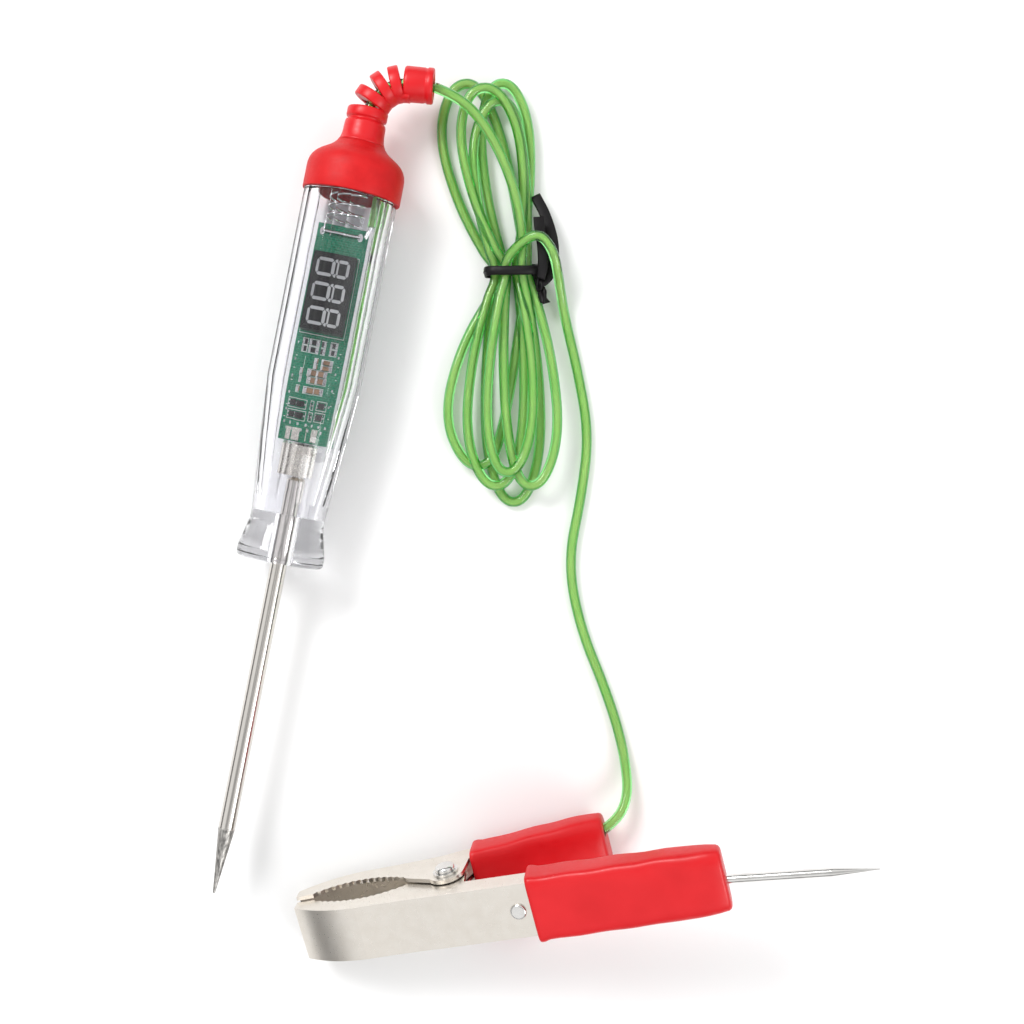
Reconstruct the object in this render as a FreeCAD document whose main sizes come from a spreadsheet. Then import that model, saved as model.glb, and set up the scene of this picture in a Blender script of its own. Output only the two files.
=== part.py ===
"""A circuit test light: clear probe handle with a digital read-out, needle, cord and spring clip.

The handle is modelled upright, its needle tip at the foot of its own Z axis, and then laid down along
the row's +Y.  The row's origin is on the surface, below the middle of the handle.
"""
import FreeCAD, Part
import math
import os
import re

import Sketcher

from FreeCAD import Placement, Rotation, Vector

doc = FreeCAD.newDocument("circuit_tester")
nodes = []

# ---- driving dimensions, in millimetres and degrees -------------------------------------------------
SIZES = {
    # needle
    "needle_radius": 2.1, "needle_point": 0.3, "needle_cone": 16.5, "needle_top": 105.2,
    "needle_stem": 1.0, "needle_shoulder": 0.8, "stem_length": 7.0,
    # clear barrel, heights above the needle's tip
    "foot_height": 84.5, "foot_radius": 10.9, "foot_rim": 2.6, "waist_height": 95.0,
    "waist_radius": 9.1, "full_height": 130.0, "barrel_radius": 12.05, "barrel_top": 177.0,
    "spigot_radius": 10.6, "spigot_length": 9.0, "bore_radius": 9.3, "floor_height": 96.5,
    "floor_radius": 6.4, "board_mouth": 113.5, "board_clearance": 0.8,
    "flat_half_width": 11.15, "fit_gap": 0.05, "seam_gap": 0.25,
    # cap
    "cap_radius": 12.3, "cap_straight": 8.0, "cap_shoulder": 5.5, "cap_hole": 3.6, "cap_recess": 7.0,
    "skirt_clearance": 0.15, "recess_depth": 2.0, "roof_gap": 0.6,
    # ferrule and circuit board
    "ferrule_radius": 4.0, "ferrule_length": 8.2, "ferrule_foot": 106.3, "ferrule_chamfer": 0.5,
    "board_width": 13.6, "board_length": 54.8, "board_thick": 1.2, "board_gap": 0.3, "board_offset": 0.4,
    # display
    "display_width": 9.9, "display_length": 19.4, "display_height": 6.2, "display_bottom": 142.4,
    "digit_height": 6.4, "digit_width": 3.6, "digit_pitch": 6.1, "segment_width": 0.75,
    "segment_rise": 0.06,
    # spring inside the cap
    "coil_radius": 3.7, "coil_wire": 0.36, "coil_pitch": 2.6, "coil_turns": 3.0, "coil_foot": 170.2,
    # strain relief
    "neck_foot_radius": 6.2, "neck_radius": 5.2, "neck_top_radius": 4.95, "neck_length": 5.8,
    "relief_bend": 9.5, "ring_radius": 4.85, "ring_thick": 2.1, "mouth_radius": 4.35,
    "mouth_length": 6.4, "relief_clearance": 0.35, "relief_root": 3.5, "relief_flange": 5.6,
    "relief_gap": 0.05, "groove_width": 0.65,
    # cord
    "cord_radius": 1.3, "wire_radius": 0.6, "hank_height": 7.4, "tie_width": 1.5, "tie_thick": 0.8,
    # clip
    "sheet_thick": 1.0, "front_width": 14.0, "side_gap": 0.3, "tip_depth": 3.2, "bulge_reach": 17.0,
    "bulge_depth": 8.7, "bend_reach": 36.6, "bend_depth": 9.6, "pivot_reach": 39.5, "ear_radius": 4.6,
    "flange_depth": 5.6, "front_reach": 104.0, "front_end_depth": 13.5, "rear_reach": 72.0,
    "rear_end_depth": 17.5, "mouth_start": 4.5, "mouth_end": 29.0, "mouth_rise": 3.4,
    "tooth_pitch": 1.75, "tooth_depth": 0.5, "lip_gap": 0.2, "pin_radius": 1.5, "pin_head": 2.5,
    "pin_head_thick": 1.3, "washer_radius": 3.2, "washer_thick": 0.5, "spring_coil": 3.0,
    "spring_wire": 0.55, "spring_turns": 5.0,
    # grips and second needle
    "grip_wall": 1.3, "grip_slack": 0.15, "grip_round": 2.3, "front_grip_start": 61.0,
    "front_grip_over": 4.0, "rear_grip_start": 45.0, "rear_grip_over": 6.0, "rivet_reach": 57.5,
    "rivet_radius": 2.0, "rivet_rise": 0.7, "spike_radius": 1.05, "spike_reach": 35.0,
    "spike_drop": 2.9, "spike_side": 0.6, "spike_point": 0.12,
    "spike_taper": 11.0, "spike_yaw": 4.5, "crimp_radius": 2.3, "crimp_length": 5.0,
    "crimp_back": 13.0, "cord_lift": 3.4, "cord_side": 4.6,
    # how the pieces lie
    "clip_heading": 23.3, "clip_pitch": 10.2, "clip_roll": 12.0, "clip_place_x": 23.7,
    "clip_place_y": -100.6,
}

sheet = doc.addObject("Spreadsheet::Sheet", "sizes")
for row, (alias, number) in enumerate(SIZES.items(), start=1):
    sheet.set(f"A{row}", alias)
    sheet.set(f"B{row}", str(number))
    sheet.setAlias(f"B{row}", alias)
doc.recompute()


def size(formula):
    """The value of a formula written with the sheet's names."""
    return float(sheet.evalExpression(bound(formula)))


def bound(formula):
    """The same formula with every name pointing into the sheet."""
    return re.sub("[a-z][a-z_]*", lambda word: "sizes." + word.group(), formula)


def keep(label, item):
    """Name a finished sub-part and list it for export."""
    item.Label = label
    nodes.append(item)
    return item


def solid(label, shape):
    """A sub-part whose shape is worked out with Part's own functions."""
    item = doc.addObject("Part::Feature", label)
    item.Shape = shape
    return keep(label, item)


def origin_plane(body, role):
    return next(plane for plane in body.Origin.OriginFeatures if plane.Role == role)


def outline(body, name, role, corners):
    """A closed sketch of straight sides on an origin plane, its corners held at formulas of the sheet."""
    sketch = body.newObject("Sketcher::SketchObject", name)
    sketch.AttachmentSupport = [(origin_plane(body, role), "")]
    sketch.MapMode = "FlatFace"
    spots = [Vector(size(across), size(up), 0) for across, up in corners]
    for index, start in enumerate(spots):
        sketch.addGeometry(Part.LineSegment(start, spots[(index + 1) % len(spots)]))
    for index in range(len(spots)):
        sketch.addConstraint(Sketcher.Constraint("Coincident", index, 2, (index + 1) % len(spots), 1))
    for index, (across, up) in enumerate(corners):
        for axis, formula, line in (("X", across, -2), ("Y", up, -1)):
            value = size(formula)
            if formula == "0":
                sketch.addConstraint(Sketcher.Constraint("PointOnObject", index, 1, line))
            else:
                held = sketch.addConstraint(
                    Sketcher.Constraint("Distance" + axis, -1, 1, index, 1, value))
                sketch.setExpression(f"Constraints[{held}]", bound(formula))
    return sketch


def ring_edge(shape, radius, height):
    """The name of the circular edge of a turned shape at a radius and height."""
    for number, edge in enumerate(shape.Edges, start=1):
        curve = edge.Curve
        if isinstance(curve, Part.Circle) and abs(curve.Radius - radius) < 1e-3:
            if abs(curve.Center.z - height) < 1e-3:
                return f"Edge{number}"
    raise ValueError(f"no edge of radius {radius} at {height}")


def turned(label, corners, rounds=()):
    """A body turned about its Z axis.  rounds names corners by number, each with its fillet's radius."""
    body = doc.addObject("PartDesign::Body", label)
    profile = outline(body, label + "_profile", "XZ_Plane", corners)
    turn = body.newObject("PartDesign::Revolution", label + "_turn")
    turn.Profile = profile
    turn.ReferenceAxis = (profile, ["V_Axis"])
    turn.Angle = 360
    doc.recompute()
    last = turn
    for corner, radius in rounds:
        across, up = corners[corner]
        edge = ring_edge(last.Shape, size(across), size(up))
        fillet = body.newObject("PartDesign::Fillet", f"{label}_round{corner}")
        fillet.Base = (last, [edge])
        fillet.setExpression("Radius", bound(radius))
        last = fillet
        doc.recompute()
    return body


def block(label, length, width, height, corner):
    """A rectangular piece whose three sizes are bound to the sheet, set at the corner it starts from."""
    item = doc.addObject("Part::Box", label)
    for name, formula in (("Length", length), ("Width", width), ("Height", height)):
        item.setExpression(name, bound(formula))
    item.Placement.Base = Vector(*[size(formula) if formula != "0" else 0 for formula in corner])
    return item


def tube(label, route, radius, bends=None):
    """A round tube along straight runs joined by tangent arcs, as wide as the runs beside them allow."""
    edges = []
    here = route[0]
    radii = []
    for number in range(1, len(route) - 1):
        before, corner, after = route[number - 1], route[number], route[number + 1]
        inward, onward = before - corner, after - corner
        half_turn = (math.pi - inward.getAngle(onward)) / 2
        bend = bends[number - 1] if bends else (
            0.45 * min(inward.Length, onward.Length) / math.tan(half_turn))
        radii.append(bend)
        reach = bend * math.tan(half_turn)
        start = corner + inward.normalize() * reach
        end = corner + onward.normalize() * reach
        middle_way = (inward + onward).normalize()
        middle = corner + middle_way * (bend / math.cos(half_turn) - bend)
        edges.append(Part.LineSegment(here, start).toShape())
        edges.append(Part.Arc(start, middle, end).toShape())
        here = end
    edges.append(Part.LineSegment(here, route[-1]).toShape())
    spine = Part.Wire(edges)
    ring = Part.Wire(Part.Circle(route[0], route[1] - route[0], radius).toShape())
    shape = spine.makePipeShell([ring], True, False)
    ideal = math.pi * radius * radius * spine.Length
    print(f"{label}: length {spine.Length:.1f}, volume over ideal {shape.Volume / ideal:.4f}, radii",
          [round(bend, 1) for bend in radii])
    return solid(label, shape)


# ---- the handle ----------------------------------------------------------------------------------
# needle: drawn steel rod with a long ground cone, and a stem that plugs into the ferrule
needle = turned("probe_needle", [
    ("0", "0"), ("needle_point", "0"), ("needle_radius", "needle_cone"),
    ("needle_radius", "needle_top"), ("needle_stem", "needle_top + needle_shoulder"),
    ("needle_stem", "needle_top + stem_length"), ("0", "needle_top + stem_length"),
])

# barrel: clear moulding, solid below the waist and hollow above it, with six flats that run out there
barrel = turned("barrel", [
    ("needle_radius + fit_gap", "foot_height"), ("foot_radius", "foot_height"),
    ("foot_radius", "foot_height + foot_rim"), ("waist_radius", "waist_height"),
    ("barrel_radius", "full_height"), ("barrel_radius", "barrel_top"),
    ("spigot_radius", "barrel_top"), ("spigot_radius", "barrel_top + spigot_length"),
    ("bore_radius", "barrel_top + spigot_length"), ("bore_radius", "full_height"),
    ("board_width / 2 + board_offset + board_clearance", "board_mouth"),
    ("floor_radius", "floor_height"), ("needle_radius + fit_gap", "floor_height"),
], rounds=[(1, "foot_rim / 2.4"), (2, "foot_rim / 2.4"), (3, "foot_radius")])
flat = outline(barrel, "flat_profile", "XZ_Plane", [
    ("waist_radius + 0.1", "waist_height + 5"), ("flat_half_width", "full_height"),
    ("flat_half_width", "barrel_top"), ("2 * barrel_radius", "barrel_top"),
    ("2 * barrel_radius", "waist_height + 5"),
])
flats = barrel.newObject("PartDesign::Pocket", "flat")
flats.Profile = flat
flats.Type = 0
flats.Midplane = True
flats.setExpression("Length", bound("3 * barrel_radius"))
doc.recompute()
six = barrel.newObject("PartDesign::PolarPattern", "six_flats")
six.Originals = [flats]
six.Axis = (flat, ["V_Axis"])
six.Angle = 360
six.Occurrences = 6
barrel.Tip = six
doc.recompute()

# cap: red moulding pushed over the barrel's spigot
CAP_FOOT = "( barrel_top + seam_gap )"
CAP_ROOF = "( barrel_top + spigot_length + roof_gap )"
CAP_TOP = "( barrel_top + seam_gap + cap_straight + cap_shoulder )"
cap = turned("end_cap", [
    ("spigot_radius + skirt_clearance", CAP_FOOT), ("cap_radius", CAP_FOOT), ("cap_radius", CAP_TOP),
    ("cap_hole", CAP_TOP), ("cap_hole", f"{CAP_ROOF} + recess_depth"),
    ("cap_recess", f"{CAP_ROOF} + recess_depth"), ("cap_recess", CAP_ROOF),
    ("spigot_radius + skirt_clearance", CAP_ROOF),
], rounds=[(2, "cap_shoulder")])

# ferrule: nickelled bush on the needle's stem, at the foot of the board
ferrule = turned("needle_ferrule", [
    ("needle_stem + fit_gap", "ferrule_foot"), ("ferrule_radius", "ferrule_foot"),
    ("ferrule_radius", "ferrule_foot + ferrule_length - ferrule_chamfer"),
    ("ferrule_radius - ferrule_chamfer", "ferrule_foot + ferrule_length"),
    ("needle_stem + fit_gap", "ferrule_foot + ferrule_length"),
])

# circuit board: stands on edge in the barrel, components towards local -Y
BOARD_FOOT = "( ferrule_foot + ferrule_length + board_gap )"
board = block("circuit_board", "board_width", "board_thick", "board_length",
              ("board_offset - board_width / 2", "0", BOARD_FOOT))
keep("circuit_board", board)
display = block("display_body", "display_width", "display_height", "display_length",
                ("-display_width / 2", "-display_height", "display_bottom"))
keep("display_body", display)


def digit_strokes(centre):
    """The seven strokes of one figure, which reads along the barrel."""
    face = -size("display_height")
    rise, line = size("segment_rise"), size("segment_width")
    tall, wide = size("digit_height"), size("digit_width")
    strokes = []
    for across in (-tall / 2, 0, tall / 2):
        strokes.append((across, centre, line, wide - 1.4 * line))
    for across in (-tall / 4, tall / 4):
        for along in (-wide / 2, wide / 2):
            strokes.append((across, centre + along, tall / 2 - 1.4 * line, line))
    return [Part.makeBox(across_size, rise, along_size,
                         Vector(across - across_size / 2, face - rise, along - along_size / 2))
            for across, along, across_size, along_size in strokes]


middle = size("display_bottom + display_length / 2")
strokes = []
for step in (-1, 0, 1):
    strokes += digit_strokes(middle + step * size("digit_pitch"))
solid("display_digits", Part.makeCompound(strokes))


def chips(label, places, width, length, height):
    """Small parts soldered flat on the board: (across, up) of each centre."""
    return solid(label, Part.makeCompound([
        Part.makeBox(width, height, length, Vector(across - width / 2, -height, up - length / 2))
        for across, up in places]))


chips("chip_resistors", [(-1.9, 139.8), (-1.9, 138.0), (2.5, 139.9), (2.5, 138.1)], 2.0, 1.2, 0.55)
chips("chip_capacitors", [(-0.2, 132.3), (0.0, 130.5), (-0.5, 127.9)], 3.2, 1.3, 0.9)
chips("chip_transistors", [(-2.7, 124.3), (2.2, 124.5), (-2.4, 121.4), (2.2, 121.6)], 2.8, 1.5, 1.1)
chips("chip_diodes", [(1.1, 135.4), (1.1, 133.9)], 3.4, 1.0, 1.0)
chips("contact_tabs", [(-2.4, 116.7), (1.6, 116.9)], 2.2, 3.2, 0.3)

# spring in the cap: coil, straight tail to the board, and the link between the two pads
coil_foot = size("coil_foot")
coil_radius = size("coil_radius")
wire = size("coil_wire")
helix = Part.makeHelix(size("coil_pitch"), size("coil_pitch * coil_turns"), coil_radius)
coil_start = Vector(coil_radius, 0, 0)
coil_ring = Part.Wire(Part.Circle(coil_start, Vector(0, 1, 0), wire).toShape())
coil = Part.Wire(helix).makePipeShell([coil_ring], True, True)
coil.translate(Vector(0, 0, coil_foot))
solid("contact_spring", coil)
PAD_HEIGHT = 167.6
PAD_ACROSS = 4.2
PAD_RADIUS = 1.0
PAD_THICK = 0.35
LINK_RADIUS = 0.4
link_start = Vector(-PAD_ACROSS, -PAD_THICK - LINK_RADIUS, PAD_HEIGHT)
link = Part.makeCylinder(LINK_RADIUS, 2 * PAD_ACROSS, link_start, Vector(1, 0, 0))
tail = Part.makeCylinder(wire, coil_foot - PAD_HEIGHT, link_start + Vector(0.5, 0, 0))
solid("spring_link", link.fuse(tail))
pads = [Part.makeCylinder(PAD_RADIUS, PAD_THICK, Vector(side * PAD_ACROSS, 0, PAD_HEIGHT), Vector(0, -1, 0))
        for side in (-1, 1)]
solid("solder_pads", Part.makeCompound(pads))

# ---- strain relief: one red moulding whose rings fan out round a bend ---------------------------------
neck_foot = size(f"{CAP_TOP} + relief_gap")
neck_top = neck_foot + size("neck_length")
bend = size("relief_bend")
bend_start = neck_top + size("groove_width + ring_thick / 2")
bore = size("cord_radius + relief_clearance")


def along_bend(turned_by):
    """A point of the relief's centre line and its direction, so many degrees round the bend."""
    angle = math.radians(turned_by)
    spot = Vector(bend - bend * math.cos(angle), 0, bend_start + bend * math.sin(angle))
    return spot, Vector(math.sin(angle), 0, math.cos(angle))


def disc(turned_by, radius, thick):
    spot, way = along_bend(turned_by)
    return Part.makeCylinder(radius, thick, spot - way * (thick / 2), way)


def strain_relief():
    """Root flange in the cap, neck, five rings held together along the inside of the bend, and mouth."""
    root_foot = size(f"{CAP_ROOF} + roof_gap")
    roof = size(f"{CAP_ROOF} + recess_depth") - 0.1
    body = Part.makeCylinder(size("relief_flange"), roof - root_foot, Vector(0, 0, root_foot))
    body = body.fuse(Part.makeCylinder(size("relief_root"), neck_foot - roof, Vector(0, 0, roof)))
    foot_radius, waist = size("neck_foot_radius"), size("neck_radius")
    flare = foot_radius - waist
    side = [Part.LineSegment(Vector(0, 0, neck_foot), Vector(foot_radius, 0, neck_foot)).toShape(),
            Part.Arc(Vector(foot_radius, 0, neck_foot),
                     Vector(waist + 0.3 * flare, 0, neck_foot + 0.75 * flare),
                     Vector(waist, 0, neck_foot + 2.2 * flare)).toShape(),
            Part.LineSegment(Vector(waist, 0, neck_foot + 2.2 * flare),
                             Vector(size("neck_top_radius"), 0, neck_top)).toShape(),
            Part.LineSegment(Vector(size("neck_top_radius"), 0, neck_top),
                             Vector(0, 0, neck_top)).toShape(),
            Part.LineSegment(Vector(0, 0, neck_top), Vector(0, 0, neck_foot)).toShape()]
    body = body.fuse(Part.Face(Part.Wire(side)).revolve(Vector(), Vector(0, 0, 1), 360))
    ring = size("ring_radius")
    for turned_by in (0, 24, 46, 66):
        body = body.fuse(disc(turned_by, ring, size("ring_thick")))
        ring -= 0.12
    mouth_start, way = along_bend(86)
    body = body.fuse(Part.makeCylinder(size("mouth_radius"), size("mouth_length"), mouth_start, way))
    spine_spot = Vector(bend - size("ring_radius") - 1.2, 0, neck_top - 1)
    spine_path = [Part.LineSegment(spine_spot, Vector(spine_spot.x, 0, bend_start)).toShape()]
    inner = bend - spine_spot.x
    half = math.radians(43)
    full = math.radians(86)
    spine_path.append(Part.Arc(
        Vector(bend - inner, 0, bend_start),
        Vector(bend - inner * math.cos(half), 0, bend_start + inner * math.sin(half)),
        Vector(bend - inner * math.cos(full), 0, bend_start + inner * math.sin(full))).toShape())
    spine_ring = Part.Wire(Part.Circle(spine_spot, Vector(0, 0, 1), 1.0).toShape())
    body = body.fuse(Part.Wire(spine_path).makePipeShell([spine_ring], True, False))
    passage = Part.makeCylinder(bore, bend_start - root_foot + 1, Vector(0, 0, root_foot - 1))
    for turned_by in range(0, 90, 6):
        spot, way = along_bend(turned_by)
        passage = passage.fuse(Part.makeCylinder(bore, 3.2, spot - way * 1.6, way))
    passage = passage.fuse(Part.makeCylinder(bore, size("mouth_length") + 3, mouth_start - way * 1, way))
    return body.cut(passage)


solid("strain_relief", strain_relief())

# cord inside the handle: from the mouth of the relief, round its bend and down beside the spring
mouth_spot, mouth_way = along_bend(86)
mouth_end = mouth_spot + mouth_way * size("mouth_length")
LEAD_ACROSS = 7.3
LEAD_END = 170.5
LEAD_FRONT = -1.45
inner_route = [
    mouth_end, Vector(bend - bend * math.tan(math.radians(22.5)), 0, bend_start + bend * 0.985),
    Vector(0, 0, bend_start + bend * math.tan(math.radians(22.5))),
    Vector(0, 0, 188.5), Vector(LEAD_ACROSS, LEAD_FRONT, 180.5), Vector(LEAD_ACROSS, LEAD_FRONT, LEAD_END),
]
inner_bends = [bend - 0.4, bend, 5.0, 5.0]
tube("cord_in_handle", inner_route, size("cord_radius"), inner_bends)
BARE_LENGTH = 3.2
bare = Part.makeCylinder(size("wire_radius"), BARE_LENGTH, Vector(LEAD_ACROSS, LEAD_FRONT, LEAD_END),
                         Vector(-0.45, 0.1, -1))
solid("bare_wire_end", bare)

# ---- the handle's place: it lies on the rim of the cap and the widest part of the barrel --------------
lean = math.degrees(math.asin(size("cap_radius - barrel_radius") / size(f"{CAP_FOOT} - full_height")))
handle_length = size(CAP_TOP)
tip_rise = size("barrel_radius") - size("full_height") * math.sin(math.radians(lean))
handle_place = Placement(Vector(0, -handle_length / 2, tip_rise), Rotation(Vector(1, 0, 0), lean - 90))
for label, item in (("probe_needle", needle), ("barrel", barrel), ("end_cap", cap),
                    ("needle_ferrule", ferrule)):
    keep(label, item)
for item in nodes:
    item.Placement = handle_place.multiply(item.Placement)

# ---- spring clip: +X runs from the jaws' tips to the grips, +Z from the rear jaw to the front jaw ------
pivot = Vector(size("pivot_reach"), 0, 0)
front_half = size("front_width / 2")
rear_half = size("front_width / 2 + side_gap + sheet_thick")
sheet_metal = size("sheet_thick")


def web_path(side, reach, end_depth, inset):
    """The back of a jaw from its tip to the end of its handle, as joined edges."""
    tip, bulge = size("tip_depth") - inset, size("bulge_depth") - inset
    bend_depth, far = size("bend_depth") - inset, end_depth - inset
    bulge_reach, bend_reach = size("bulge_reach"), size("bend_reach")
    rise = bulge - tip
    spots = [Vector(0, 0, tip), Vector(bulge_reach * 0.4, 0, tip + rise * 0.62),
             Vector(bulge_reach, 0, bulge),
             Vector((bulge_reach + bend_reach) / 2, 0, bulge + (bend_depth - bulge) * 0.28),
             Vector(bend_reach, 0, bend_depth), Vector(reach, 0, far)]
    spots = [Vector(spot.x, 0, side * spot.z) for spot in spots]
    return [Part.Arc(*spots[:3]).toShape(), Part.Arc(*spots[2:5]).toShape(),
            Part.LineSegment(*spots[4:6]).toShape()], spots


def lip(side):
    """The toothed edge of a flange, from its ear back to the tip of the jaw."""
    start, end = size("mouth_start"), size("mouth_end")
    teeth = round((end - start) / size("tooth_pitch"))
    spots = []
    for number in range(2 * teeth + 1):
        share = number / (2 * teeth)
        height = size("lip_gap") + size("mouth_rise") * math.sin(math.pi * share) ** 0.8
        height += size("tooth_depth") * (number % 2)
        spots.append(Vector(start + (end - start) * share, 0, side * height))
    return [Vector(0, 0, side * size("lip_gap"))] + spots


def handle_edge(side, reach, end_depth, along):
    """The free edge of a handle's flange at a reach."""
    bend_depth, bend_reach = size("bend_depth"), size("bend_reach")
    depth = bend_depth + (end_depth - bend_depth) * (along - bend_reach) / (reach - bend_reach)
    return Vector(along, 0, side * (depth - size("flange_depth")))


def jaw(side, half_width, reach, end_depth, hole):
    """A stamped jaw and handle: a web with two toothed flanges and an ear round the pivot."""
    web, corners = web_path(side, reach, end_depth, 0)
    far_edge = handle_edge(side, reach, end_depth, reach)
    behind = handle_edge(side, reach, end_depth, pivot.x + 1.1 * size("ear_radius"))
    ear = size("ear_radius")
    ear_back = Vector(pivot.x + ear * 0.97, 0, -side * 1.1)
    ear_front = Vector(pivot.x - ear * 0.8, 0, -side * ear * 0.6)
    teeth = lip(side)
    edge = [Part.LineSegment(corners[5], far_edge).toShape(),
            Part.LineSegment(far_edge, behind).toShape(),
            Part.LineSegment(behind, ear_back).toShape(),
            Part.Arc(ear_back, Vector(pivot.x, 0, -side * ear), ear_front).toShape(),
            Part.LineSegment(ear_front, teeth[-1]).toShape()]
    for first, second in zip(teeth[::-1], teeth[-2::-1]):
        edge.append(Part.LineSegment(first, second).toShape())
    edge.append(Part.LineSegment(teeth[0], corners[0]).toShape())
    outer = Part.Face(Part.Wire(web + edge))
    outer.translate(Vector(0, -half_width, 0))
    outer = outer.extrude(Vector(0, 2 * half_width, 0))
    inner_web, inner = web_path(side, reach, end_depth, sheet_metal)
    below = -side * 3 * ear
    room = [Part.LineSegment(inner[5], Vector(reach, 0, below)).toShape(),
            Part.LineSegment(Vector(reach, 0, below), Vector(0, 0, below)).toShape(),
            Part.LineSegment(Vector(0, 0, below), inner[0]).toShape()]
    inside = Part.Face(Part.Wire(inner_web + room))
    inside.translate(Vector(0, sheet_metal - half_width, 0))
    inside = inside.extrude(Vector(0, 2 * (half_width - sheet_metal), 0))
    shape = outer.cut(inside)
    across = Part.makeCylinder(hole, 4 * half_width, pivot - Vector(0, 2 * half_width, 0), Vector(0, 1, 0))
    return shape.cut(across)


front_reach, front_end = size("front_reach"), size("front_end_depth")
rear_reach, rear_end = size("rear_reach"), size("rear_end_depth")
pin_hole = size("pin_radius + fit_gap")
clip_nodes = [
    solid("clip_front_jaw", jaw(1, front_half, front_reach, front_end, pin_hole)),
    solid("clip_rear_jaw", jaw(-1, rear_half, rear_reach, rear_end, pin_hole)),
]


def handle_slope(reach, end_depth):
    return (end_depth - size("bend_depth")) / (reach - size("bend_reach"))


def grip_block(half_width, start, end):
    """A rounded block from start to end, its back face one wall above the handle's web."""
    wall = size("grip_wall + grip_slack")
    spare = 2 * size("grip_round")
    tall = size("flange_depth") + 2 * wall
    shape = Part.makeBox(end - start + spare, 2 * (half_width + wall), tall,
                         Vector(start - spare, -half_width - wall, -tall))
    shape = shape.makeFillet(size("grip_round"), shape.Edges)
    shape = shape.cut(Part.makeBox(spare, 4 * half_width, 2 * tall,
                                   Vector(start - spare, -2 * half_width, -1.5 * tall)))
    shape.translate(Vector(0, 0, wall))
    return shape


def grip(side, half_width, start, end, reach, end_depth):
    """A soft sleeve over a handle, closed at its far end."""
    slope = handle_slope(reach, end_depth)
    slack = size("grip_slack")
    shape = grip_block(half_width, start, end)
    room_length = (reach - start) * math.hypot(1, slope) + slack
    room = Part.makeBox(room_length + 1, 2 * (half_width + slack), size("flange_depth") + 2 * slack,
                        Vector(start - 1, -half_width - slack, -size("flange_depth") - slack))
    shape = shape.cut(room)
    depth = size("bend_depth") + slope * (start - size("bend_reach"))
    tilt = Rotation(Vector(0, 1, 0), -math.degrees(math.atan(slope)))
    shape.translate(Vector(-start, 0, 0))
    shape.Placement = Placement(Vector(start, 0, depth), tilt).multiply(shape.Placement)
    if side < 0:
        shape = shape.mirror(Vector(), Vector(0, 0, 1))
    return shape


front_grip_end = size("front_reach + front_grip_over")
rear_grip_end = size("rear_reach + rear_grip_over")
front_grip = grip(1, front_half, size("front_grip_start"), front_grip_end, front_reach, front_end)
rear_grip = grip(-1, rear_half, size("rear_grip_start"), rear_grip_end, rear_reach, rear_end)

# second needle: a thin steel spike that is riveted inside the front handle and leaves its grip
rivet_reach = size("rivet_reach")
front_slope = handle_slope(front_reach, front_end)
rivet_depth = size("bend_depth") + front_slope * (rivet_reach - size("bend_reach"))
yaw = math.radians(size("spike_yaw"))
exit_spot = Vector(front_grip_end, -size("spike_side"),
                   front_end + front_slope * size("front_grip_over") - size("spike_drop"))
spike_way = Vector(math.cos(yaw), -math.sin(yaw), front_slope).normalize()
spike_length = size("spike_reach") / spike_way.x
spike_back = (exit_spot.x - rivet_reach - 2) / spike_way.x
spike_radius = size("spike_radius")
spike_taper = size("spike_taper")
spike_start = exit_spot - spike_way * spike_back
shaft = Part.makeCylinder(spike_radius, spike_back + spike_length - spike_taper, spike_start, spike_way)
taper = Part.makeCone(spike_radius, size("spike_point"), spike_taper,
                      exit_spot + spike_way * (spike_length - spike_taper), spike_way)
spike = shaft.fuse(taper).removeSplitter()
opening_radius = size("spike_radius + 2 * fit_gap")
opening = Part.makeCylinder(opening_radius, spike_back + spike_length, spike_start, spike_way)
clip_nodes.append(solid("front_grip", front_grip.cut(opening)))
clip_nodes.append(solid("clip_spike", spike))
web_out = Vector(-front_slope, 0, 1).normalize()
rivet_seat = Vector(rivet_reach, 0, rivet_depth)
dome = Part.makeCylinder(size("rivet_radius"), size("rivet_rise"), rivet_seat + web_out * 0.02, web_out)
dome = dome.makeFillet(size("rivet_rise") * 0.8, [dome.Edges[0]])
clip_nodes.append(solid("spike_rivet", dome))

# pivot: a headed pin with a washer under each head, and the torsion spring wound on it
head, head_thick = size("pin_head"), size("pin_head_thick")
washer_thick = size("washer_thick")
pin_half = rear_half + washer_thick + 0.1
sideways = Vector(0, 1, 0)
pin = Part.makeCylinder(size("pin_radius"), 2 * pin_half, pivot - sideways * pin_half, sideways)
for way in (-1, 1):
    cap_end = Part.makeCylinder(head, head_thick, pivot + sideways * (way * pin_half), sideways * way)
    outer_edges = [edge for edge in cap_end.Edges
                   if isinstance(edge.Curve, Part.Circle)
                   and abs(edge.Curve.Center.y - way * (pin_half + head_thick)) < 1e-6]
    pin = pin.fuse(cap_end.makeFillet(head_thick * 0.7, outer_edges))
clip_nodes.append(solid("pivot_pin", pin))
washers = []
for way in (-1, 1):
    seat = pivot + sideways * (way * (rear_half + 0.05))
    disc_shape = Part.makeCylinder(size("washer_radius"), washer_thick, seat, sideways * way)
    washers.append(disc_shape.cut(Part.makeCylinder(pin_hole, washer_thick, seat, sideways * way)))
clip_nodes.append(solid("pivot_washers", Part.makeCompound(washers)))

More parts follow.
